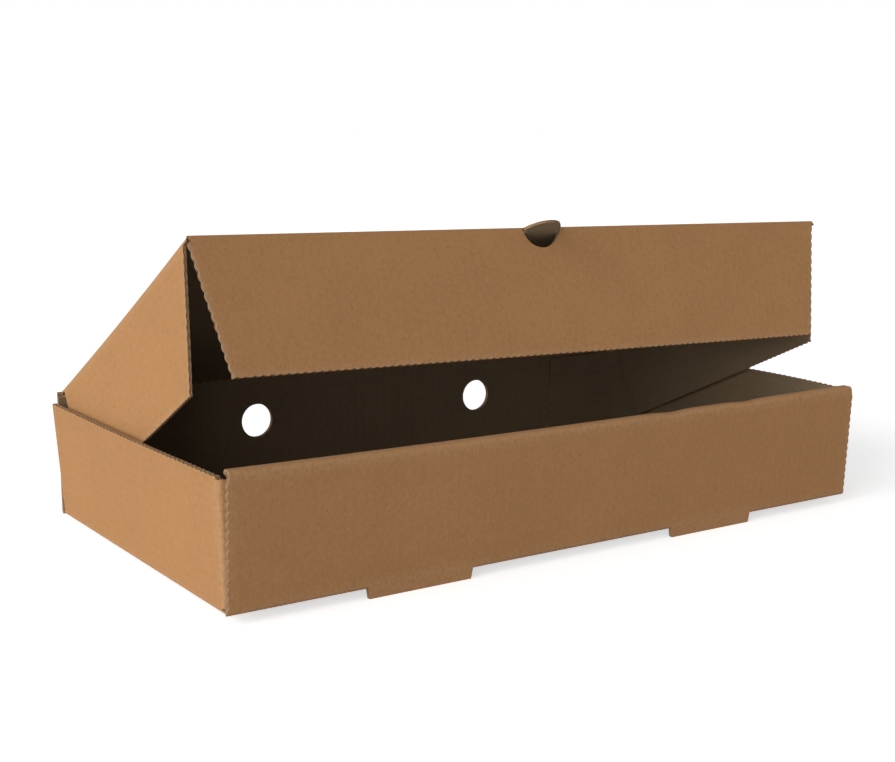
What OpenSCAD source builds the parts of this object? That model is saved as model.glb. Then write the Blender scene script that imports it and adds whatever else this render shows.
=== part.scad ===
// Delivery box folded from one die-cut sheet of corrugated board, with its lid standing half open.
// The base, walls and corner flaps are one folded piece. The lid and its three flaps swing on folds.
// Origin: on the floor, under the middle of the base. The front faces -Y, left is -X and up is +Z.

/* [Tray] */
// Outside length of the base, left to right
box_length = 500; // [320:5:700]
// Outside depth of the base, front to rear
box_depth = 262; // [200:2:400]
// Height of the side walls, from the underside of the base
wall_height = 79; // [60:1:120]
// How far the rolled front wall stands above the side walls
front_rise = 3; // [1:0.5:8]
// Thickness of the corrugated board
board = 3; // [1.5:0.1:4]
// Outward lean of the two side walls, in degrees
side_lean = 3; // [0:0.5:6]
// Outward lean of the front wall, in degrees
front_lean = 2.5; // [0:0.5:5]

/* [Rolled front wall] */
// Play on each side of a corner flap between the two front panels
ply_slack = 0.3; // [0.1:0.1:1]
// Length of the feet and of the locking tabs beside them
lock_length = 75; // [40:1:100]
// Distance between the middles of the two feet
lock_spacing = 238; // [150:1:280]
// Sideways place of the pair of feet, from the middle of the box
lock_shift = -4.5; // [-10:0.5:10]
// Distance that the feet reach below the base
foot_drop = 6; // [3:0.5:10]
// How far a locking tab comes out below the base
tab_reach = 1; // [0:0.5:3]
// Play around a locking tab in its slot
slot_play = 0.6; // [0.3:0.1:1.5]
// Slope cut off each end of a foot
foot_slope = 1.5; // [0:0.5:4]

/* [Corner flaps] */
// Length of the four corner flaps
corner_flap_length = 74; // [40:1:110]
// How far the top of a corner flap lies below the top of its side wall
corner_flap_dip = 4; // [2:0.5:12]

/* [Vent holes] */
// Diameter of the vent holes in the rear wall
vent_diameter = 25; // [10:0.5:40]
// Distance between the middles of the two vent holes
vent_spacing = 200; // [80:5:240]
// Height of the vent holes' middles above the underside of the base
vent_height = 50; // [35:1:55]

/* [Lid] */
// How far the lid stands open, in degrees, with 0 for closed
lid_open = 27; // [5:1:90]
// Room between the closed lid and the top of the front wall
lid_gap = 0.5; // [0.3:0.1:2]
// Room between each side flap of the lid and the side wall next to it, at the base
side_gap = 1; // [0.5:0.1:3]
// Room between the lid's front fold and the inner front panel, at the base
tuck_gap = 0.4; // [0.2:0.1:3]
// Gap left at a fold between two pieces that swing on it
fold_gap = 0.15; // [0.1:0.05:0.4]

/* [Lid flaps] */
// Room between the edge of a closed flap and the base
flap_floor_gap = 3.5; // [2:0.5:10]
// Lean of the front flap towards the rear, from square to the lid, in degrees
front_flap_lean = 11.5; // [0:0.5:14]
// How much further the front flap can lean in, in degrees
front_flap_spare = 3; // [0:0.5:6]
// Distance from each end of the front flap's fold to the corner of the lid
front_flap_margin = 2.5; // [1:0.5:10]
// How much shorter the front flap is at each end of its free edge than at its fold
front_flap_taper = 16; // [5:1:40]
// Distance from the lid's front fold to the side flaps' fold
side_flap_margin = 5.5; // [5.5:0.5:15]
// How far a side flap's front edge slopes back
side_flap_slope = 32; // [20:1:60]
// Distance from the lid's rear fold to the side flaps
side_flap_rear_margin = 10; // [9:0.5:20]
// How far a side flap's rear edge slopes forward
side_flap_rear_slope = 3; // [0:0.5:15]

/* [Thumb notch] */
// Radius of the half-round tab that the cut leaves on the lid
thumb_radius = 14; // [12:0.1:20]
// How far the tab reaches past the lid's front fold
thumb_reach = 11.5; // [8:0.1:12]
// Sideways place of the tab, from the middle of the lid
thumb_shift = -3.5; // [-20:0.5:20]
// Play between the thumb tab and its notch in the front flap
thumb_play = 0.2; // [0.2:0.1:2]

/* [Cut edges] */
// Length of one scallop of the serrated cut edges
scallop_pitch = 5.5; // [3:0.1:10]
// Depth of the scallops
scallop_depth = 1.2; // [0.4:0.1:2]

/* [Hidden] */
$fn = 48;

kraft = "#a97c50";
kraft_light = "#b98a5c";

half_length = box_length / 2;
half_depth = box_depth / 2;
front_height = wall_height + front_rise;
// Height of the lid's top face when closed, from the underside of the base
lid_height = front_height + lid_gap + board;
// Room between the two front panels, which a corner flap fills
roll_room = board + 2 * ply_slack;
roll_depth = 2 * board + roll_room;
// From the base's front fold up to the roll's front fold
roll_height = front_height - 2 * board;
// Half the length of the rolled part, which clears the side walls
roll_half = half_length - board - side_gap;
// The side walls' own front and rear folds
side_front = 2 * board + ply_slack - half_depth;
side_rear = half_depth - 2 * board - ply_slack;
side_top = wall_height - board;
// Room under the corner flaps
corner_flap_foot = 1;
corner_flap_height = side_top - corner_flap_dip - corner_flap_foot;
// How much a corner flap's top edge drops towards its free end
corner_flap_taper = 4;
lock_places = [lock_shift - lock_spacing / 2, lock_shift + lock_spacing / 2];

lid_depth = box_depth - roll_depth - tuck_gap;
lid_half = half_length - board - side_gap;
// Length of each lid flap, from the lid's top face to the flap's free edge
flap_length = lid_height - board - flap_floor_gap;
// How far the crushed inside of the front flap's fold runs back from it
front_fold_run = board / tan((90 - front_flap_lean - front_flap_spare) / 2);
thumb_rise = thumb_radius - thumb_reach;
thumb_half = sqrt(thumb_radius * thumb_radius - thumb_rise * thumb_rise);
notch_radius = norm([thumb_half, thumb_rise + front_fold_run]) + thumb_play;

// Steps in one scallop
scallop_steps = 4;
// Size of the bead on the inside of a fixed fold, and of the overlap where a tab leaves a panel
bite = 0.2;
// How far a fold's round part runs on into its panels, in degrees
lap = 2;
// How far a pressed crease lies below the faces beside it
crease_set = 0.02;
// How far the round of a fold stops short of the bead inside it
crease_stop = 0.5;
// Width of a knife cut that parts a foot from the fold beside it
cut = 0.2;
// Distance that a cutting shape reaches past what it cuts
past = 1;

// Points from a up to b along a cut edge, with the outside on the right hand
function scalloped(a, b) =
    let (
        run = norm(b - a),
        along = (b - a) / run,
        inward = [-along[1], along[0]],
        steps = scallop_steps * max(1, round(run / scallop_pitch))
    )
    [for (i = [0 : steps - 1])
        a + along * run * i / steps
          + inward * scallop_depth * (1 - abs(cos(180 * i / scallop_steps)))];

// A section in Y and Z drawn out along X, from the middle both ways
module drawn_along_x(length)
    translate([-length / 2, 0, 0]) rotate([90, 0, 90]) linear_extrude(length) children();

// A board on edge along X, outlined in X and Z, with its front face at y = -board
module board_along_x(outline)
    rotate([90, 0, 0]) linear_extrude(board) polygon(outline);

// A board on edge along Y, outlined in Y and Z, with its left face at x = -board
module board_along_y(outline)
    translate([-board, 0, 0]) rotate([90, 0, 90]) linear_extrude(board) polygon(outline);

// A fixed fold that runs up Z, round outside between two angles and with a small bead inside
module fold(length, from, to) {
    translate([0, 0, crease_stop]) rotate([0, 0, from - lap])
        rotate_extrude(angle = to - from + 2 * lap)
            square([board - crease_set, length - 2 * crease_stop]);
    translate([-bite, -bite, 0]) cube([2 * bite, 2 * bite, length]);
}

// A fixed fold along X, with angles counted from +Y towards +Z
module fold_along_x(length, from, to)
    translate([-length / 2, 0, 0]) rotate([90, 0, 90]) fold(length, from, to);

// A fixed fold along Y, with angles counted from +X towards +Z
module fold_along_y(length, from, to)
    translate([0, length / 2, 0]) rotate([90, 0, 0]) fold(length, from, to);

// Frames on the inner line of each fold, turned with the panel that stands on it
module at_front_fold()
    translate([0, board - half_depth, board]) rotate([front_lean, 0, 0]) children();

module at_left_fold()
    translate([board - half_length, 0, board]) rotate([0, -side_lean, 0]) children();

// The lid's frame has its origin on the hinge fold and the lid's top face at z = 0
module at_lid()
    translate([0, half_depth, foot_drop + lid_height]) rotate([-lid_open, 0, 0]) children();

module left_and_right() {
    children();
    mirror([1, 0, 0]) children();
}

module tray() color(kraft) translate([0, 0, foot_drop]) {
    base();
    front_wall();
    rear_wall();
    left_and_right() side_wall();
}

// The base with its four folds, less the slots behind the feet
module base() difference() {
    union() {
        translate([board - half_length, board - half_depth, 0])
            cube([box_length - 2 * board, box_depth - 2 * board, board]);
        translate([0, board - half_depth, board])
            fold_along_x(box_length - crease_stop, 180 + front_lean, 270);
        translate([0, half_depth - board, board])
            fold_along_x(box_length - crease_stop, 270, 360);
        left_and_right()
            translate([board - half_length, 0, board])
                fold_along_y(2 * (half_depth - board - cut), 180 + side_lean, 270);
    }
    for (place = lock_places)
        translate([place - lock_length / 2, -half_depth - past, -past])
            cube([lock_length, roll_depth + slot_play + past, board + 2 * past]);
}

module front_wall() at_front_fold() {
    outer_front_panel();
    rolled_top();
    translate([0, roll_room + board, 0]) inner_front_panel();
}

// Its ends are cut edges, and its top corners are nipped off beside the roll
module outer_front_panel() {
    nipped = roll_height - (half_length - roll_half);
    board_along_x(concat(
        [[half_length, 0]],
        scalloped([half_length, bite], [half_length, nipped]),
        [[half_length, nipped], [roll_half, roll_height], [-roll_half, roll_height]],
        scalloped([-half_length, nipped], [-half_length, bite]),
        [[-half_length, bite], [-half_length, 0]]
    ));
    for (place = lock_places) translate([place, 0, 0]) foot();
}

// The board left on the panel where a slot was cut from the base
module foot() {
    half = lock_length / 2 - cut;
    tip = (board + foot_drop) / cos(front_lean) - board * tan(front_lean);
    board_along_x([
        [-half, bite], [-half, 0], [foot_slope - half, -tip],
        [half - foot_slope, -tip], [half, 0], [half, bite]
    ]);
}

// Each fold and panel of the roll is a little shorter than the one before it
module rolled_top() translate([0, 0, roll_height]) {
    strip_half = roll_half - 2 * crease_stop;
    fold_along_x(2 * roll_half - crease_stop, 90, 180);
    translate([-strip_half, 0, 0]) cube([2 * strip_half, roll_room, board]);
    translate([0, roll_room, 0]) fold_along_x(2 * strip_half - crease_stop, 0, 90);
}

// It stops just above the base, and its two tabs go down through the slots
module inner_front_panel() {
    panel_half = roll_half - 4 * crease_stop;
    half = lock_length / 2 - slot_play;
    tip = board + tab_reach;
    board_along_x([
        [-panel_half, bite], [panel_half, bite],
        [panel_half, roll_height], [-panel_half, roll_height]
    ]);
    for (place = lock_places)
        translate([place, 0, 0])
            board_along_x([[-half, -tip], [half, -tip], [half, 2 * bite], [-half, 2 * bite]]);
}

// The section is cut at 45 degrees at the top, where the lid's fold is crushed on the inside
module rear_wall() translate([0, half_depth, board]) {
    top = lid_height - board - fold_gap;
    difference() {
        drawn_along_x(box_length) polygon([[-board, 0], [0, 0], [0, top], [-board, top - board]]);
        for (side = [-1, 1])
            translate([side * vent_spacing / 2, past, vent_height - board])
                rotate([90, 0, 0]) cylinder(d = vent_diameter, h = board + 2 * past);
    }
}

// The left wall, with its front edge sloped to lie along the leaning front wall
module side_wall() at_left_fold() {
    front_top = side_front - side_top * tan(front_lean);
    board_along_y(concat(
        [[side_front, 0], [side_rear, 0]],
        scalloped([side_rear, side_top], [front_top, side_top]),
        [[front_top, side_top]]
    ));
    translate([0, side_front, 0]) rotate([front_lean, 0, 0]) corner_flap();
    translate([0, side_rear, 0]) mirror([0, 1, 0]) corner_flap();
}

// A corner flap with its fold, at the front end of the left wall
module corner_flap() translate([0, 0, corner_flap_foot]) {
    translate([0, 0, -crease_stop / 2]) fold(corner_flap_height + crease_stop, 180, 270);
    board_along_x([
        [0, 0], [corner_flap_length, 0],
        [corner_flap_length, corner_flap_height - corner_flap_taper], [0, corner_flap_height]
    ]);
}

module lid_panel() color(kraft) at_lid() {
    difference() {
        union() {
            translate([board - lid_half, -lid_depth, -board])
                cube([2 * (lid_half - board), lid_depth, board]);
            left_and_right() lid_side_fold();
        }
        crushed_fold(board);
        translate([0, -lid_depth, 0]) mirror([0, 1, 0]) crushed_fold(front_fold_run);
    }
    translate([thumb_shift, -lid_depth, -board]) thumb_tab();
}

// The round edge of the lid over its left flap
module lid_side_fold()
    translate([board - lid_half, 0, -board]) rotate([90, lap - 90, 0])
        rotate_extrude(angle = 90 + lap) square([board, lid_depth]);

// The cut on the inside of a lid fold, for a board that lies towards -Y from it
module crushed_fold(run) {
    low = board + past;
    back = fold_gap + low * run / board;
    drawn_along_x(box_length)
        polygon([[-fold_gap, past], [-fold_gap, 0], [-back, -low], [past, -low], [past, past]]);
}

// The half-round tab left in the lid's plane by the thumb cut, with its root across the fold
module thumb_tab() {
    root = front_fold_run + past;
    intersection() {
        translate([0, thumb_rise, 0]) cylinder(r = thumb_radius, h = board);
        translate([-thumb_radius, -thumb_radius, 0]) cube([2 * thumb_radius, thumb_radius, board]);
    }
    translate([-thumb_half, -bite, 0]) cube([2 * thumb_half, root, board]);
}

module at_front_flap()
    at_lid() translate([0, -lid_depth, 0]) rotate([front_flap_lean, 0, 0]) children();

module lid_front_flap() color(kraft) at_front_flap() {
    fold_half = lid_half - front_flap_margin;
    edge_half = fold_half - front_flap_taper;
    difference() {
        translate([0, board, 0]) board_along_x(concat(
            scalloped([-fold_half, -fold_gap], [-edge_half, -flap_length]),
            scalloped([-edge_half, -flap_length], [edge_half, -flap_length]),
            scalloped([edge_half, -flap_length], [fold_half, -fold_gap]),
            [[fold_half, -fold_gap]]
        ));
        rotate([90, 0, 0]) crushed_fold(front_fold_run);
        translate([thumb_shift, -past, thumb_rise])
            rotate([-90, 0, 0]) cylinder(r = notch_radius, h = board + 2 * past);
    }
}

// A side flap of the lid, modelled on the left
module side_flap() at_lid() translate([board - lid_half, 0, 0]) {
    fold_end = -board - fold_gap;
    front = side_flap_margin - lid_depth;
    rear = -side_flap_rear_margin;
    front_edge = front + side_flap_slope;
    rear_edge = rear - side_flap_rear_slope;
    board_along_y(concat(
        scalloped([front, fold_end], [front_edge, -flap_length]),
        scalloped([front_edge, -flap_length], [rear_edge, -flap_length]),
        [[rear_edge, -flap_length], [rear, fold_end]]
    ));
}

module lid_left_flap() color(kraft_light) side_flap();

module lid_right_flap() color(kraft_light) mirror([1, 0, 0]) side_flap();

tray();
lid_panel();
lid_front_flap();
lid_left_flap();
lid_right_flap();
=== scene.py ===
from math import cos, exp, hypot, pi, radians, sin, tan

import bmesh
import bpy
from mathutils import Matrix, Vector


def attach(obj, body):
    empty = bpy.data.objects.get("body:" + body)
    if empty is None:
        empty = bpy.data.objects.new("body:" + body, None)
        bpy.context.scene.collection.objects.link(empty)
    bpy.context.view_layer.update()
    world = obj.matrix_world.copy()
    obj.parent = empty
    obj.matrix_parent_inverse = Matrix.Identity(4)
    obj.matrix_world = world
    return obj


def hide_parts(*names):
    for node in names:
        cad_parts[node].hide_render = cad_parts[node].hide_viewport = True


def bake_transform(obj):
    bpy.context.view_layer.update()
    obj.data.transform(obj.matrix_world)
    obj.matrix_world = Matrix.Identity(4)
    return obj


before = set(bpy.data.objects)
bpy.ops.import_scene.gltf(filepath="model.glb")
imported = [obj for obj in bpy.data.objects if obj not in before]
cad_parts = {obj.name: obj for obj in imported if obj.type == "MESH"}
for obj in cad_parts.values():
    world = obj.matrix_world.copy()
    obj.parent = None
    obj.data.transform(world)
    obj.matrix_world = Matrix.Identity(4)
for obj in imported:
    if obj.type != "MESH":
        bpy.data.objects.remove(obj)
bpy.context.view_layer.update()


# Base, rear wall and rolled front wall. The middle of one die-cut sheet of B-flute kraft board.
# Its front edge is creased up, rolled over a narrow top strip and tucked back down, where two
# tabs lock it, and the board left from the two lock slots stays on the outer panel as feet.

MM = 0.001
NEAR = 0.1
BOARD = 2.9
CREASE = 3.0
BOX_LENGTH = 500.0
BOX_DEPTH = 262.0
UNDERSIDE = 6.0
BASE_TOP = UNDERSIDE + CREASE
HINGE_HEIGHT = 91.5
HINGE_SLIT = 0.15
WALL_X = BOX_LENGTH / 2
CREASE_X = WALL_X - CREASE
WALL_Y = BOX_DEPTH / 2
CREASE_Y = WALL_Y - CREASE
SCALLOP = 0.9
FLUTE_PITCH = 0.0065
KRAFT = (0.385, 0.195, 0.079, 1.0)
KRAFT_SCUFFED = (0.46, 0.29, 0.165, 1.0)
KRAFT_INSIDE = (0.250, 0.178, 0.108, 1.0)
INSIDE_SCUFFED = (0.22, 0.15, 0.09, 1.0)
CUT_FIBRE = (0.42, 0.26, 0.14, 1.0)
# painted shade: the dark inside of the flute hollows on a cut edge
FLUTE_HOLLOW_SHADE = (0.200, 0.118, 0.060, 1.0)


class Signal:
    """One value in a material's nodes, which plain expressions can work on."""

    def __init__(self, tree, socket=None):
        self.tree, self.socket = tree, socket

    def node(self, kind, settings=None, sockets=None, out=0):
        made = self.tree.nodes.new("ShaderNode" + kind)
        for name, value in (settings or {}).items():
            setattr(made, name, value)
        for name, value in (sockets or {}).items():
            if isinstance(value, Signal):
                self.tree.links.new(value.socket, made.inputs[name])
            else:
                made.inputs[name].default_value = value
        return Signal(self.tree, made.outputs[out])

    def math(self, operation, *values):
        return self.node("Math", {"operation": operation}, dict(enumerate(values)))

    def __add__(self, other):
        return self.math("ADD", self, other)

    def __sub__(self, other):
        return self.math("SUBTRACT", self, other)

    def __rsub__(self, other):
        return self.math("SUBTRACT", other, self)

    def __mul__(self, other):
        return self.math("MULTIPLY", self, other)

    __radd__, __rmul__ = __add__, __mul__

    def sine(self):
        return self.math("SINE", self)

    def size(self):
        return self.math("ABSOLUTE", self)

    def above(self, edge, soft):
        """0 below the edge and 1 above it, over a soft step."""
        return self.node("MapRange", {"interpolation_type": "SMOOTHSTEP"},
                         {"Value": self, "From Min": edge - soft, "From Max": edge + soft})

    def colour(self, red, green, blue):
        """The value as a colour, with a share for each channel."""
        return self.node("CombineColor", None,
                         {"Red": self * red, "Green": self * green, "Blue": self * blue})

    def feed(self, socket):
        self.tree.links.new(self.socket, socket)


def new_surface(name):
    """A material with an empty principled shader, and the start of its expressions."""
    surface = bpy.data.materials.new(name)
    surface.use_nodes = True
    tree = surface.node_tree
    shader = tree.nodes["Principled BSDF"]
    shader.inputs["Specular IOR Level"].default_value = 0.22
    return surface, shader, Signal(tree)


def paper(name, colour, streaks, scuffed_to):
    """Unbleached liner: cloudy pulp, short fibres, dark specks and the flutes showing through."""
    surface, shader, start = new_surface(name)
    place = start.node("TexCoord", out="Object")
    flute = start.node("Attribute", {"attribute_name": "flute"}, out="Fac")
    worn = start.node("Attribute", {"attribute_name": "wear"}, out="Fac")
    drawn = start.node("Mapping", None, {"Vector": place, "Scale": (1.0, 1.0, 0.28)})
    cloud = start.node("TexNoise", None, {"Vector": place, "Scale": 26.0, "Detail": 3.0})
    pulp = start.node("TexNoise", None,
                      {"Vector": place, "Scale": 420.0, "Detail": 4.0, "Roughness": 0.62})
    fibre = start.node("TexNoise", None, {"Vector": drawn, "Scale": 950.0, "Detail": 2.0})
    patchy = start.node("TexNoise", None, {"Vector": place, "Scale": 9.0, "Detail": 2.0})
    ridge = (flute * (2 * pi / FLUTE_PITCH)).sine()
    shade = (1.0 + (cloud - 0.5) * 0.13 + (pulp - 0.5) * 0.34 + (fibre - 0.5) * 0.22
             + ridge * patchy * streaks)
    grain = start.node("TexVoronoi", None, {"Vector": place, "Scale": 210.0}, out="Distance")
    rare = start.node("TexNoise", None, {"Vector": place, "Scale": 60.0, "Detail": 1.0})
    speck = (1.0 - grain.above(0.10, 0.05)) * rare.above(0.60, 0.05)
    tone = (shade * (1.0 - speck * 0.42)).colour(*colour[:3])
    scuffed = start.node("Mix", {"data_type": "RGBA"},
                         {"Factor": worn * pulp.above(0.46, 0.22) * 0.34, 6: tone, 7: scuffed_to},
                         out=2)
    bump = start.node("Bump", None, {"Strength": 0.55, "Distance": 0.00009,
                                     "Height": ridge * 0.16 + pulp * 0.75 + fibre * 0.55})
    scuffed.feed(shader.inputs["Base Color"])
    (0.80 + pulp * 0.22).feed(shader.inputs["Roughness"])
    bump.feed(shader.inputs["Normal"])
    return surface


def cut_edge(name):
    """A knife-cut edge: the two liners, and the wave of the medium, with painted shade in the hollows
    between.
    """
    surface, shader, start = new_surface(name)
    place = start.node("TexCoord", out="Object")
    flute = start.node("Attribute", {"attribute_name": "flute"}, out="Fac")
    depth = start.node("Attribute", {"attribute_name": "ply"}, out="Fac")
    fray = start.node("TexNoise", None, {"Vector": place, "Scale": 900.0, "Detail": 3.0})
    wave = 0.5 + (flute * (2 * pi / FLUTE_PITCH)).sine() * 0.34
    off_wave = (depth - wave).size() + (fray - 0.5) * 0.10
    off_middle = (depth - 0.5).size() + (fray - 0.5) * 0.05
    medium = 1.0 - off_wave.above(0.11, 0.04)
    solid = medium.math("MAXIMUM", medium, off_middle.above(0.37, 0.03))
    # where there is no paper, the flute hollows get a dark colour as painted shade
    tone = start.node("Mix", {"data_type": "RGBA"},
                      {"Factor": solid, 6: FLUTE_HOLLOW_SHADE, 7: CUT_FIBRE}, out=2)
    tone = start.node("Mix", {"data_type": "RGBA", "blend_type": "MULTIPLY"},
                      {"Factor": 1.0, 6: tone, 7: (0.86 + fray * 0.28).colour(1.0, 1.0, 1.0)},
                      out=2)
    bump = start.node("Bump", None, {"Strength": 0.8, "Distance": 0.0004, "Height": solid})
    tone.feed(shader.inputs["Base Color"])
    (0.84 + fray * 0.14).feed(shader.inputs["Roughness"])
    bump.feed(shader.inputs["Normal"])
    return surface


outer_liner = paper("kraft_outer_liner", KRAFT, 0.016, KRAFT_SCUFFED)
inner_liner = paper("kraft_inner_liner", KRAFT_INSIDE, 0.030, INSIDE_SCUFFED)
raw_edge = cut_edge("kraft_cut_edge")


def select_only(board):
    """Make one board the only one that the operators work on."""
    bpy.ops.object.select_all(action="DESELECT")
    board.select_set(True)
    bpy.context.view_layer.objects.active = board


def flat_sheet(name, across, along, height, columns, rows, turn=(0, 0, 0)):
    """The outer face of a panel, between its limits in X and Y, then turned about the origin."""
    bpy.ops.object.select_all(action="DESELECT")
    bpy.ops.mesh.primitive_grid_add(
        x_subdivisions=columns, y_subdivisions=rows, size=1,
        location=(sum(across) / 2 * MM, sum(along) / 2 * MM, height * MM))
    board = bpy.context.object
    board.name = board.data.name = name
    board.scale = ((across[1] - across[0]) * MM, (along[1] - along[0]) * MM, 1)
    bpy.ops.object.transform_apply(location=True, rotation=True, scale=True)
    board.rotation_euler = turn
    bpy.ops.object.transform_apply(location=False, rotation=True, scale=False)
    bpy.ops.object.mode_set(mode="EDIT")
    return board


def pick(kind, test):
    """Select, in edit mode, the verts, edges or faces whose middle and ends pass, in mm."""
    bpy.ops.mesh.select_mode(type=kind)
    bpy.ops.mesh.select_all(action="DESELECT")
    mesh = bpy.context.object.data
    form = bmesh.from_edit_mesh(mesh)
    for part in {"VERT": form.verts, "EDGE": form.edges, "FACE": form.faces}[kind]:
        ends = [part.co] if kind == "VERT" else [vert.co for vert in part.verts]
        middle = sum(ends, Vector((0, 0, 0))) / len(ends)
        if test(middle / MM, [end / MM for end in ends]):
            part.select_set(True)
    form.select_flush_mode()
    bmesh.update_edit_mesh(mesh)


def push(x, y, z):
    """Move what is selected, in mm."""
    bpy.ops.transform.translate(value=(x * MM, y * MM, z * MM))


def draw_out(x, y, z, steps=1):
    """Extrude what is selected in equal steps, in mm."""
    for _ in range(steps):
        bpy.ops.mesh.extrude_region_move(
            TRANSFORM_OT_translate={"value": (x * MM / steps, y * MM / steps, z * MM / steps)})


def crease(centre, axis, angle, steps=6):
    """Bend the sheet on from the selected edges round the inner line of a fold."""
    bpy.ops.mesh.spin(steps=steps, angle=-radians(angle), center=Vector(centre) * MM, axis=axis)


def slice_at(point, normal):
    """Add a cut line across the whole sheet."""
    bpy.ops.mesh.select_all(action="SELECT")
    bpy.ops.mesh.bisect(plane_co=Vector(point) * MM, plane_no=normal, threshold=1e-6)


def scallop(test, along, inward, start, pitch):
    """Cut a run of edges to the wave of a safety blade: round teeth, with a nick between them."""
    pick("EDGE", test)
    bpy.ops.mesh.subdivide(number_cuts=3, ngon=True)
    along, inward = Vector(along), Vector(inward)
    for steps, depth in (((1, 3), SCALLOP * (1 - cos(pi / 4))), ((2,), SCALLOP)):
        def on_step(middle, ends):
            if not test(middle, ends):
                return False
            quarters = (middle.dot(along) - start) / pitch * 4
            return abs(quarters - round(quarters)) < 0.05 and round(quarters) % 4 in steps
        pick("VERT", on_step)
        push(*(inward * depth))


def thicken(board, probe, inside):
    """Give the sheet its thickness towards the inside, and mark each vert's place in the board.

    The sheet is turned so that its face nearest to the probe, in mm, points to the inside.
    """
    bpy.ops.mesh.select_all(action="SELECT")
    bpy.ops.mesh.normals_make_consistent(inside=False)
    form = bmesh.from_edit_mesh(board.data)
    nearest = min(form.faces, key=lambda face: (face.calc_center_median() / MM - Vector(probe)).length)
    if nearest.normal.dot(Vector(inside)) < 0:
        bpy.ops.mesh.flip_normals()
    bpy.ops.object.mode_set(mode="OBJECT")
    outer = len(board.data.vertices)
    solid = board.modifiers.new("board", "SOLIDIFY")
    solid.thickness = BOARD * MM
    solid.offset = 1
    solid.use_even_offset = True
    solid.use_rim = True
    bpy.ops.object.modifier_apply(modifier="board")
    ply = board.data.attributes.new("ply", "FLOAT", "POINT")
    count = len(board.data.vertices)
    ply.data.foreach_set("value", [1.0] * outer + [0.0] * (count - outer))


def face_up(board, flute, wear):
    """Close the board's normals, and give it its flutes, its wear and its three finishes."""
    bpy.ops.object.mode_set(mode="EDIT")
    bpy.ops.mesh.select_all(action="SELECT")
    bpy.ops.mesh.normals_make_consistent(inside=False)
    bpy.ops.object.mode_set(mode="OBJECT")
    mesh = board.data
    for name, value in (("flute", flute), ("wear", lambda co: wear(co / MM))):
        layer = mesh.attributes.new(name, "FLOAT", "POINT")
        layer.data.foreach_set("value", [value(vert.co) for vert in mesh.vertices])
    for surface in (outer_liner, inner_liner, raw_edge):
        mesh.materials.append(surface)
    depth = [item.value for item in mesh.attributes["ply"].data]
    for face in mesh.polygons:
        plies = [depth[i] for i in face.vertices]
        face.material_index = 0 if max(plies) < 0.5 else 1 if min(plies) > 0.5 else 2


def shape(board, move):
    """Press the finished board a little out of true, as handling does. Moves are in mm."""
    for vert in board.data.vertices:
        vert.co += Vector(move(vert.co / MM)) * MM
    select_only(board)
    bpy.ops.object.shade_smooth_by_angle(angle=radians(28))


def punch(board, middle, radius, depth_at):
    """Punch a round hole along Y through a board, and mark the depth of the new edge."""
    bpy.ops.object.select_all(action="DESELECT")
    bpy.ops.mesh.primitive_cylinder_add(vertices=72, radius=radius * MM, depth=24 * MM,
                                        location=Vector(middle) * MM, rotation=(pi / 2, 0, 0))
    cutter = bpy.context.object
    cut = board.modifiers.new("punch", "BOOLEAN")
    cut.operation, cut.object, cut.solver = "DIFFERENCE", cutter, "EXACT"
    bpy.context.view_layer.objects.active = board
    bpy.ops.object.modifier_apply(modifier="punch")
    bpy.data.objects.remove(cutter)
    ply = board.data.attributes["ply"].data
    for vert in board.data.vertices:
        away = vert.co / MM - Vector(middle)
        if abs(hypot(away.x, away.z) - radius) < 0.02 and abs(away.y) < 12:
            ply[vert.index].value = min(1, max(0, depth_at(vert.co.y / MM)))


FRONT_LEAN = 2.5
SLOT_BACK = -120.8
ROLL_HEIGHT = 76.0
ROLL_ROWS = 14
ROLL_ROOM = 3.6
ROLL_LIFT = 0.3
ROLL_BACK = -118.0
ROLL_ENDS = (1.5, 0.5)
LOCKS = ((-161.0, -86.0), (77.0, 152.0))
FOOT = 8.87
FOOT_SLOPE = 1.5
TAB = 4.2
REAR_MITRE = 3.4
VENT_X = 100.0
VENT_HEIGHT = 56.0
VENT_RADIUS = 12.5
FRONT_BOW = 2.6
FRONT_SAG = 0.9
KNOCKS = (74.0, 143.0)
KNOCK_WIDTH = 11.0
KNOCK_DEPTH = 1.1
KNOCK_FROM = 62.0
KNOCK_FADE = 20.0

up = Vector((0, -sin(radians(FRONT_LEAN)), cos(radians(FRONT_LEAN))))
back = Vector((0, cos(radians(FRONT_LEAN)), sin(radians(FRONT_LEAN))))
front_fold = Vector((0, -CREASE_Y, BASE_TOP))


def rise(place):
    """How far up the front wall a place is, from the middle of its fold."""
    return (Vector(place) - front_fold).dot(up)


def run(place):
    """How far behind the middle of the front wall's fold a place is."""
    return (Vector(place) - front_fold).dot(back)


tray = flat_sheet("tray_board", (-CREASE_X, CREASE_X), (SLOT_BACK, CREASE_Y), UNDERSIDE, 90, 45)
pick("EDGE", lambda m, ends: all(e.y < SLOT_BACK + NEAR for e in ends))
draw_out(0, -CREASE_Y - SLOT_BACK, 0)
for lock in LOCKS:
    for side in lock:
        slice_at((side, 0, 0), (1, 0, 0))

# the crease, the outer panel and the roll
pick("EDGE", lambda m, ends: all(e.y < NEAR - CREASE_Y for e in ends))
crease(front_fold, (1, 0, 0), -(90 - FRONT_LEAN))
draw_out(*(up * ROLL_HEIGHT), steps=ROLL_ROWS)
crease(front_fold + up * ROLL_HEIGHT, (1, 0, 0), -90)
draw_out(*(back * ROLL_ROOM))
crease(front_fold + up * ROLL_HEIGHT + back * ROLL_ROOM, (1, 0, 0), -90)
draw_out(*(up * (ROLL_LIFT - ROLL_HEIGHT)), steps=ROLL_ROWS)

# the rear crease and the rear wall
pick("EDGE", lambda m, ends: all(e.y > CREASE_Y - NEAR and e.z < UNDERSIDE + NEAR for e in ends))
crease((0, CREASE_Y, BASE_TOP), (1, 0, 0), 90)
draw_out(0, 0, HINGE_HEIGHT - BASE_TOP - HINGE_SLIT, steps=15)

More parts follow.
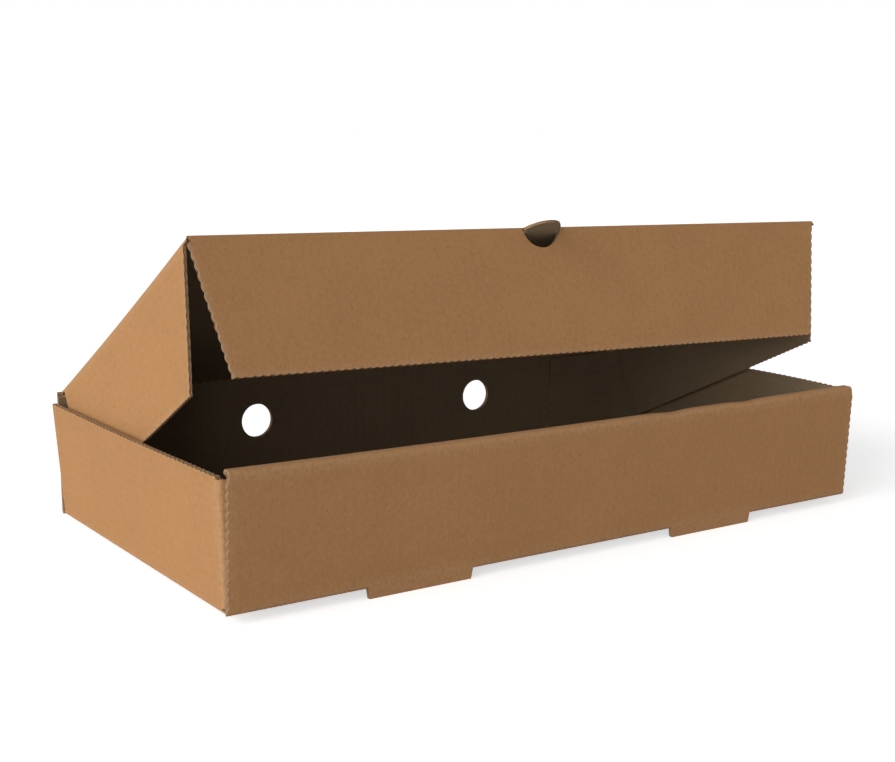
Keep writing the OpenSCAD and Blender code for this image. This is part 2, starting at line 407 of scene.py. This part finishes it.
# the ends: the outer panel and the rear wall run past the base, the roll stops short of them
for side in (-1, 1):
    for wider, chosen in (
        (CREASE, lambda m: m.y < -CREASE_Y - 0.2 and rise(m) < ROLL_HEIGHT - NEAR),
        (CREASE, lambda m: m.y > CREASE_Y + 0.2),
        (ROLL_ENDS[0], lambda m: m.y < ROLL_BACK - 2 and rise(m) > ROLL_HEIGHT - NEAR
         and run(m) < -NEAR),
        (ROLL_ENDS[1], lambda m: m.y < ROLL_BACK - 2 and rise(m) > ROLL_HEIGHT - NEAR
         and run(m) > -NEAR),
        (-CREASE, lambda m: m.y < ROLL_BACK - 2 and NEAR < rise(m) < ROLL_HEIGHT - NEAR
         and run(m) > ROLL_ROOM + 2),
    ):
        pick("VERT", lambda m, ends: abs(m.x * side - CREASE_X) < 0.01 and m.z > UNDERSIDE + 0.02
             and chosen(m))
        push(side * wider, 0, 0)
    scallop(lambda m, ends: all(e.x * side > WALL_X - 0.01 and run(e) < NEAR - CREASE
                                and rise(e) > -0.01 for e in ends),
            up, (-side, 0, 0), front_fold.dot(up), ROLL_HEIGHT / ROLL_ROWS)

# the slots, the feet that their board stays on, and the tabs that lock the roll
for low, high in LOCKS:
    pick("FACE", lambda m, ends: low < m.x < high and m.y < SLOT_BACK and rise(m) < -0.01)
    bpy.ops.mesh.delete(type="FACE")
    pick("EDGE", lambda m, ends: low < m.x < high
         and all(abs(rise(e)) < 0.02 and run(e) < NEAR - CREASE for e in ends))
    draw_out(*(up * -FOOT))
    for end, slope in ((low, FOOT_SLOPE), (high, -FOOT_SLOPE)):
        pick("VERT", lambda m, ends: abs(m.x - end) < 0.01 and m.z < 0.5)
        push(slope, 0, 0)
    pick("EDGE", lambda m, ends: low < m.x < high
         and all(abs(rise(e) - ROLL_LIFT) < 0.02 and run(e) > ROLL_ROOM + 2 for e in ends))
    draw_out(*(up * -TAB))

thicken(tray, (0, 0, UNDERSIDE), (0, 0, 1))

# the rear wall's top is crushed to a mitre inside, and its two vents are punched
bpy.ops.object.mode_set(mode="EDIT")
pick("VERT", lambda m, ends: m.z > HINGE_HEIGHT - 0.3 and CREASE_Y < m.y < CREASE_Y + 0.5)
push(0, 0, -REAR_MITRE)
bpy.ops.object.mode_set(mode="OBJECT")
for side in (-1, 1):
    punch(tray, (side * VENT_X, CREASE_Y + 1.5, VENT_HEIGHT), VENT_RADIUS,
          lambda y: (WALL_Y - y) / BOARD)


def tray_wear(place):
    if place.y < ROLL_BACK:
        folded = rise(place) < 0.2 or rise(place) > ROLL_HEIGHT - NEAR
        return 1.0 if folded or abs(place.x) > CREASE_X - 4 else 0.12
    rear_fold = place.y > CREASE_Y - NEAR and place.z < BASE_TOP
    top = place.z > HINGE_HEIGHT - 1.5
    return 1.0 if top or abs(place.x) > CREASE_X - 1 or rear_fold else 0.08


def front_bow(place):
    """The front wall bows out between its corners, and its top edge has two small knocks."""
    height = rise(place)
    if place.y > ROLL_BACK or height < 0:
        return 0, 0, 0
    bow = (1 - (place.x / WALL_X) ** 2) * height / (ROLL_HEIGHT + 6)
    knock = sum(exp(-((place.x - x) / KNOCK_WIDTH) ** 2) for x in KNOCKS)
    knock *= max(0, (height - KNOCK_FROM) / KNOCK_FADE)
    return 0, -FRONT_BOW * bow, -FRONT_SAG * bow - KNOCK_DEPTH * knock


face_up(tray, lambda co: co.x, tray_wear)
shape(tray, front_bow)
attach(tray, "tray")
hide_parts("tray")


# Side walls and corner flaps. Each side of the same sheet is creased up as a single board with a
# scalloped safety edge. Its two ends fold in as corner flaps: the front one is caught inside the
# rolled front wall, and the rear one lies loose against the rear wall.

SIDE_LEAN = 3.0
SIDE_END = 124.7
SIDE_TOP = 85.0
SIDE_ROWS = 14
SIDE_COLUMNS = 45
SIDE_ROW = (SIDE_TOP - BASE_TOP) / SIDE_ROWS
CORNER_LOW = 10.0
CORNER_TOP = 83.5
CORNER_FLAP = 74.0
CORNER_DROP = 5.0
CORNER_CLEAR = 1.5
CORNER_BEND = 60.0
FOLD_PAST_WALL = 3.1

wall = flat_sheet("side_wall_left", (BASE_TOP, SIDE_TOP), (-SIDE_END, SIDE_END), WALL_X,
                  SIDE_ROWS, SIDE_COLUMNS, turn=(0, -pi / 2, 0))
scallop(lambda m, ends: all(e.z > SIDE_TOP - 0.01 for e in ends), (0, 1, 0), (0, 0, -1),
        -SIDE_END, 2 * SIDE_END / SIDE_COLUMNS)
slice_at((0, 0, CORNER_LOW), (0, 0, 1))
slice_at((0, 0, CORNER_TOP), (0, 0, 1))

# the crease at the base, which runs on past the wall at both ends
pick("EDGE", lambda m, ends: all(e.z < BASE_TOP + 0.01 for e in ends))
crease((-CREASE_X, 0, BASE_TOP), (0, 1, 0), -(90 - SIDE_LEAN))
for side in (-1, 1):
    pick("VERT", lambda m, ends: m.z < BASE_TOP - 0.01 and m.y * side > SIDE_END - NEAR)
    push(0, side * FOLD_PAST_WALL, 0)

# the front end follows the lean of the front wall, and both ends fold in as corner flaps
form = bmesh.from_edit_mesh(wall.data)
for vert in form.verts:
    if vert.co.y < (0.01 - SIDE_END) * MM and vert.co.z > BASE_TOP * MM:
        vert.co.y -= (vert.co.z - BASE_TOP * MM) * tan(radians(FRONT_LEAN))
bmesh.update_edit_mesh(wall.data)
for fold, axis, turn in ((-1, up, 90), (1, Vector((0, 0, 1)), -90)):
    pick("EDGE", lambda m, ends: m.x < 0.01 - WALL_X and m.y * fold > SIDE_END - 0.01 and all(
        CORNER_LOW - 0.01 < e.z < CORNER_TOP + 0.01 and e.y * fold > SIDE_END - 0.01 for e in ends))
    crease((-CREASE_X, fold * SIDE_END, BASE_TOP), axis, turn)
    draw_out(CORNER_FLAP, 0, 0, steps=13)
form = bmesh.from_edit_mesh(wall.data)
for vert in form.verts:
    if vert.co.x > -CREASE_X * MM and vert.co.z > CORNER_BEND * MM:
        clear = CORNER_CLEAR * MM * (vert.co.x > (1 - CREASE_X) * MM)
        drop = clear + CORNER_DROP * (vert.co.x + CREASE_X * MM) / CORNER_FLAP
        vert.co.z -= drop * (vert.co.z - CORNER_BEND * MM) / ((CORNER_TOP - CORNER_BEND) * MM)
bmesh.update_edit_mesh(wall.data)
thicken(wall, (-WALL_X, 0, 45), (1, 0, 0))


def wall_wear(place):
    if place.x > 1 - CREASE_X:
        return 0.1
    low_or_high = place.z > CORNER_TOP or place.z < BASE_TOP + 0.2
    return 1.0 if low_or_high or abs(place.y) > SIDE_END - NEAR else 0.1


face_up(wall, lambda co: co.z, wall_wear)
fold_line = Matrix.Translation((-CREASE_X * MM, 0, BASE_TOP * MM))
lean = Matrix.Rotation(radians(-SIDE_LEAN), 4, "Y")
wall.data.transform(fold_line @ lean @ fold_line.inverted())


def mirrored(board, name):
    """The same board for the right side, with a mesh of its own."""
    select_only(board)
    bpy.ops.object.duplicate(linked=False)
    copy = bpy.context.object
    copy.name = copy.data.name = name
    copy.data.transform(Matrix.Scale(-1, 4, (1, 0, 0)))
    copy.data.flip_normals()
    return copy


def side_bow(out, peak, rear_out):
    """How a side wall bellies out between its ends, most at the height of its free edge."""
    def move(place):
        height = max(0, place.z - BASE_TOP) / (SIDE_TOP - BASE_TOP)
        along = min(1, max(0, (place.y + SIDE_END) / (2 * SIDE_END)))
        belly = sin(pi * min(1, along ** peak)) ** 1.4
        return (out * belly + rear_out * along * along) * height, 0, 0
    return move


right_wall = mirrored(wall, "side_wall_right")
shape(wall, side_bow(out=-1.8, peak=1.0, rear_out=-1.6))
shape(right_wall, side_bow(out=9.0, peak=0.75, rear_out=0.0))
for board in (wall, right_wall):
    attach(board, "tray")
    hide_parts("tray")


# Lid. One panel of the sheet, hinged on the crease along the top of the rear wall, with both its
# long creases crushed to a mitre inside. The thumb cut leaves a half-round tongue that stays in
# the plane of the lid, and the short rounds at its corners are cut free of the flaps.

LID_OPEN = 27.0
LID_DEPTH = 252.0
LID_SIDE = 244.2
FLAP_RUN = (-246.5, -10.0)
FRONT_MITRE = 3.9
LID_MITRE = 3.5
TONGUE_X, TONGUE_Y, TONGUE_RADIUS = -4.7, -249.5, 14.0
TONGUE_CRUSH = 1.3
LIFT_LEFT, LIFT_RIGHT = 5.0, -0.4
RACK_REAR, RACK_FRONT = 1.0, 3.8
TWIST_HALF = 246.0

lid_place = (Matrix.Translation((0, WALL_Y * MM, HINGE_HEIGHT * MM))
             @ Matrix.Rotation(radians(-LID_OPEN), 4, "X"))


def sprung(place, low=0.0):
    """Where handling has sprung the lid to: twisted up at its front left, and racked left."""
    along = min(1, max(0, -place.y / LID_DEPTH))
    across = (place.x + TWIST_HALF) / (2 * TWIST_HALF)
    lift = (LIFT_LEFT + (LIFT_RIGHT - LIFT_LEFT) * across) * along * along
    rack = RACK_REAR + (RACK_FRONT - RACK_REAR) * along
    return -(rack + (RACK_REAR - rack) * low), 0, lift


lid = flat_sheet("lid_board", (-LID_SIDE, LID_SIDE), (-LID_DEPTH, -HINGE_SLIT), 0, 88, 46)
for end in FLAP_RUN:
    slice_at((0, end, 0), (0, 1, 0))
for side in (-1, 1):
    pick("EDGE", lambda m, ends: all(abs(e.x - side * LID_SIDE) < 0.01 for e in ends)
         and not FLAP_RUN[0] < m.y < FLAP_RUN[1])
    crease((side * LID_SIDE, 0, -CREASE), (0, 1, 0), side * 90)
thicken(lid, (0, -100, 0), (0, 0, -1))


def lid_inside(place):
    """Whether a place is on the lid's inner face."""
    return -3.2 < place.z < -2


bpy.ops.object.mode_set(mode="EDIT")
pick("VERT", lambda m, ends: m.y < 0.01 - LID_DEPTH and lid_inside(m)
     and abs(m.x) < LID_SIDE + NEAR and abs(m.x - TONGUE_X) > TONGUE_RADIUS - 0.2)
push(0, FRONT_MITRE, 0)
pick("VERT", lambda m, ends: m.y > -HINGE_SLIT - 0.05 and (lid_inside(m) or abs(m.x) > LID_SIDE + NEAR))
push(0, -LID_MITRE, 0)
bpy.ops.object.mode_set(mode="OBJECT")

bpy.ops.object.select_all(action="DESELECT")
bpy.ops.mesh.primitive_circle_add(vertices=96, radius=TONGUE_RADIUS * MM, fill_type="NGON",
                                  location=(TONGUE_X * MM, TONGUE_Y * MM, 0))
tongue = bpy.context.object
tongue.name = "thumb_tongue"
bpy.ops.object.transform_apply(location=True, rotation=False, scale=False)
bpy.ops.object.mode_set(mode="EDIT")
bpy.ops.mesh.select_all(action="SELECT")
bpy.ops.mesh.bisect(plane_co=(0, -LID_DEPTH * MM, 0), plane_no=(0, 1, 0), clear_outer=True,
                    threshold=1e-6)
thicken(tongue, (TONGUE_X, -LID_DEPTH - 4, 0), (0, 0, -1))
bpy.ops.object.mode_set(mode="EDIT")
pick("VERT", lambda m, ends: m.z < -2 and m.y < -LID_DEPTH - 0.2)
push(0, 0, TONGUE_CRUSH)
bpy.ops.object.mode_set(mode="OBJECT")
select_only(lid)
tongue.select_set(True)
bpy.ops.object.join()


def lid_wear(place):
    folded = place.y < 1 - LID_DEPTH or place.y > -1
    return 1.0 if folded or abs(place.x) > LID_SIDE - NEAR else 0.1


face_up(lid, lambda co: co.x, lid_wear)
shape(lid, sprung)
lid.data.transform(lid_place)
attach(lid, "lid")
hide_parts("lid_panel")


# Lid front flap. The panel that tucks in behind the front wall, hanging from the lid's front
# crease. Its scalloped cut edges taper towards its free edge, the round thumb notch is at its
# top, and it was cut a little out of square.

FLAP_LEAN = 11.5
FLAP_LENGTH = 81.0
FLAP_HALF = 246.5
FLAP_TAPER = 17.8
FLAP_SKEW = 0.028
FLAP_SHIFT = 1.5
FLAP_ROWS = 14
FLAP_COLUMNS = 88
FOLD_ROWS = (0, -1.2, -2.6, -4.0)
NOTCH_RADIUS = 15.4

front_flap = flat_sheet("front_flap_board", (-FLAP_HALF, FLAP_HALF), (-FLAP_LENGTH, 0), 0,
                        FLAP_COLUMNS, FLAP_ROWS, turn=(pi / 2, 0, 0))
for side in (-1, 1):
    scallop(lambda m, ends: all(e.x * side > FLAP_HALF - 0.01 for e in ends),
            (0, 0, -1), (-side, 0, 0), 0, FLAP_LENGTH / FLAP_ROWS)
scallop(lambda m, ends: all(e.z < 0.01 - FLAP_LENGTH for e in ends),
        (1, 0, 0), (0, 0, 1), -FLAP_HALF, 2 * FLAP_HALF / FLAP_COLUMNS)
for height in FOLD_ROWS[1:]:
    slice_at((0, 0, height), (0, 0, 1))
thicken(front_flap, (0, 0, -FLAP_LENGTH / 2), (0, 1, 0))

# the inside of the fold is crushed to a mitre, row by row
bpy.ops.object.mode_set(mode="EDIT")
for height in FOLD_ROWS[:-1]:
    pick("VERT", lambda m, ends: abs(m.z - height) < 0.01 and m.y > 2)
    push(0, 0, -FRONT_MITRE - 0.97 * height)
bpy.ops.object.mode_set(mode="OBJECT")
for vert in front_flap.data.vertices:
    vert.co.z *= 1 + FLAP_SKEW * vert.co.x / (FLAP_HALF * MM)
    vert.co.x *= 1 + FLAP_TAPER / FLAP_HALF * vert.co.z / (FLAP_LENGTH * MM)
punch(front_flap, (TONGUE_X, 1.5, LID_DEPTH + TONGUE_Y), NOTCH_RADIUS, lambda y: y / BOARD)


def flap_wear(place):
    edge = FLAP_HALF + FLAP_TAPER * place.z / FLAP_LENGTH
    foot = -FLAP_LENGTH * (1 + FLAP_SKEW * place.x / FLAP_HALF)
    rim = place.z < foot + 1.5 or abs(place.x) > edge - 2
    return 1.0 if place.z > -NEAR or rim else 0.1


face_up(front_flap, lambda co: co.x, flap_wear)
front_fold_place = (Matrix.Translation((0, -LID_DEPTH * MM, 0))
                    @ Matrix.Rotation(radians(FLAP_LEAN), 4, "X"))
front_flap.data.transform(front_fold_place)
shape(front_flap, lambda place: Vector(sprung(place))
      + Vector((place.z / FLAP_LENGTH * FLAP_SHIFT, 0, 0)))
front_flap.data.transform(lid_place)
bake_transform(front_flap)
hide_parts("lid_front_flap")


# Lid side flaps. A narrow panel on each side of the lid that goes down inside the side wall. Its
# front edge is cut back on a slope so that it clears the rolled front wall, and it is scalloped
# like the others, with its cut edge crushed thin by the blade.

SIDE_FLAP_X = LID_SIDE + CREASE
SIDE_FLAP_FOOT = 79.0
SIDE_FLAP_DROP = SIDE_FLAP_FOOT - CREASE
SIDE_FLAP_COLUMNS = 43
SIDE_FLAP_LEAN = 1.2
REAR_FLARE = 3.0
EDGE_CRUSH = 1.1
LEFT_CUT = {"front_drop": 71.5, "rear_drop": 73.0, "cut_back": 43.0}
RIGHT_CUT = {"front_drop": 78.0, "rear_drop": 71.0, "cut_back": 32.0}

left_flap = flat_sheet("left_flap_board", (-SIDE_FLAP_FOOT, -CREASE), FLAP_RUN, SIDE_FLAP_X,
                       SIDE_ROWS, SIDE_FLAP_COLUMNS, turn=(0, -pi / 2, 0))
scallop(lambda m, ends: all(e.y < FLAP_RUN[0] + 0.01 for e in ends),
        (0, 0, 1), (0, 1, 0), -SIDE_FLAP_FOOT, SIDE_ROW)
scallop(lambda m, ends: all(e.z < 0.01 - SIDE_FLAP_FOOT for e in ends),
        (0, 1, 0), (0, 0, 1), FLAP_RUN[0], (FLAP_RUN[1] - FLAP_RUN[0]) / SIDE_FLAP_COLUMNS)
pick("EDGE", lambda m, ends: all(e.z > -CREASE - 0.01 for e in ends))
crease((-LID_SIDE, 0, -CREASE), (0, 1, 0), 90)
thicken(left_flap, (-SIDE_FLAP_X, -100, -40), (1, 0, 0))
bpy.ops.object.mode_set(mode="EDIT")
pick("VERT", lambda m, ends: m.x > -LID_SIDE - 0.5 and m.z < -CREASE - 0.2
     and (m.y < FLAP_RUN[0] + 1 or m.z < 1 - SIDE_FLAP_FOOT))
push(-EDGE_CRUSH, 0, 0)
bpy.ops.object.mode_set(mode="OBJECT")


def side_flap_wear(place):
    folded = place.z > -CREASE - 0.5
    return 1.0 if folded or place.z < 1.5 - SIDE_FLAP_FOOT or place.y < FLAP_RUN[0] + 2 else 0.1


def cut_to_size(board, side, front_drop, rear_drop, cut_back):
    """Slope a side flap's front edge, and give its foot its height at either end."""
    for vert in board.data.vertices:
        down = max(0, (-CREASE * MM - vert.co.z) / (SIDE_FLAP_DROP * MM))
        along = (vert.co.y / MM - FLAP_RUN[0]) / (FLAP_RUN[1] - FLAP_RUN[0])
        if down > 0:
            vert.co.z = (-CREASE - down * (front_drop + (rear_drop - front_drop) * along)) * MM
        vert.co.y += (cut_back * (1 - along) - REAR_FLARE * along) * down * MM
        vert.co.x -= side * SIDE_FLAP_LEAN * down * MM


face_up(left_flap, lambda co: co.z, side_flap_wear)
right_flap = mirrored(left_flap, "right_flap_board")
cut_to_size(left_flap, -1, **LEFT_CUT)
cut_to_size(right_flap, 1, **RIGHT_CUT)
for board, body, side in ((left_flap, "left_flap", -1), (right_flap, "right_flap", 1)):
    shape(board, lambda place: sprung(place, low=min(1, -place.z / SIDE_FLAP_FOOT)))
    board.data.transform(lid_place)
    lid_place @ Vector((side * LID_SIDE * MM, -0.1, 0))
    lid_place @ Vector((side * (LID_SIDE + 3.5) * MM, -0.1, -4.5 * MM))
    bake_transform(board)
    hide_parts("lid_" + body)


# Floor, light and camera. A plain white table, tipped to touch both feet and the rear edge of
# the base that the box really rests on, soft studio light from the left and the front, and the
# viewpoint of the photograph.

REST_TILT = 1.31
TABLE_SIZE = 14.0
TABLE_WHITE = (0.72, 0.72, 0.72, 1)
TABLE_GLOW = (0.62, 0.62, 0.62, 1)
SKY = 0.20
STUDIO_LAMPS = (
    ("key_left", (-0.90, -0.12, 0.38), 0.89, 50),
    ("fill_front", (-0.66, -0.72, 0.22), 0.30, 40),
)
IMAGE_WIDTH, IMAGE_MIDDLE_X, IMAGE_MIDDLE_Y = 895, 447.0, 380.5
EYE = (-0.5633, -0.7962, 0.2603)
LENS_PX, MIDDLE_X, MIDDLE_Y = 1401.2, 440.65, 404.7
YAW, PITCH, ROLL = 34.241, 10.605, 0.328
SENSOR = 36

bpy.ops.object.select_all(action="DESELECT")
bpy.ops.mesh.primitive_plane_add(size=TABLE_SIZE, location=(0, -WALL_Y * MM, 0))
table = bpy.context.object
table.name = "table"
table.rotation_euler = (radians(REST_TILT), 0, 0)
ground, shader, start = new_surface("white_table")
shader.inputs["Base Color"].default_value = TABLE_WHITE
shader.inputs["Roughness"].default_value = 0.9
shader.inputs["Emission Strength"].default_value = 1.0
seen = start.node("LightPath", out="Is Camera Ray")
glow = start.node("Mix", {"data_type": "RGBA"}, {"Factor": seen, 6: (0, 0, 0, 1), 7: TABLE_GLOW},
                  out=2)
glow.feed(shader.inputs["Emission Color"])
table.data.materials.append(ground)

world = bpy.data.worlds.new("studio")
bpy.context.scene.world = world
world.use_nodes = True
start = Signal(world.node_tree)
shown = start.node("LightPath", out="Is Camera Ray")
for ray in ("Is Glossy Ray", "Is Transmission Ray"):
    shown = shown.math("MAXIMUM", shown, start.node("LightPath", out=ray))
backdrop = world.node_tree.nodes["Background"]
backdrop.inputs["Color"].default_value = (1, 1, 1, 1)
(SKY + shown * (1 - SKY)).feed(backdrop.inputs["Strength"])

for name, towards, strength, softness in STUDIO_LAMPS:
    bpy.ops.object.light_add(type="SUN", location=Vector(towards) * 3)
    lamp = bpy.context.object
    lamp.name = name
    lamp.data.energy = strength * pi
    lamp.data.angle = radians(softness)
    lamp.rotation_euler = Vector(towards).to_track_quat("Z", "Y").to_euler()

bpy.ops.object.camera_add()
camera = bpy.context.object
camera.name = "photo_view"
camera.matrix_world = (Matrix.Translation(EYE)
                       @ Matrix.Rotation(radians(-YAW), 4, "Z")
                       @ Matrix.Rotation(radians(90 - PITCH), 4, "X")
                       @ Matrix.Rotation(radians(ROLL), 4, "Z"))
camera.data.sensor_width = SENSOR
camera.data.lens = LENS_PX * SENSOR / IMAGE_WIDTH
camera.data.shift_x = (IMAGE_MIDDLE_X - MIDDLE_X) / IMAGE_WIDTH
camera.data.shift_y = (MIDDLE_Y - IMAGE_MIDDLE_Y) / IMAGE_WIDTH
camera.data.clip_start = 0.01
bpy.context.scene.camera = camera
bpy.context.scene.view_settings.view_transform = "Standard"
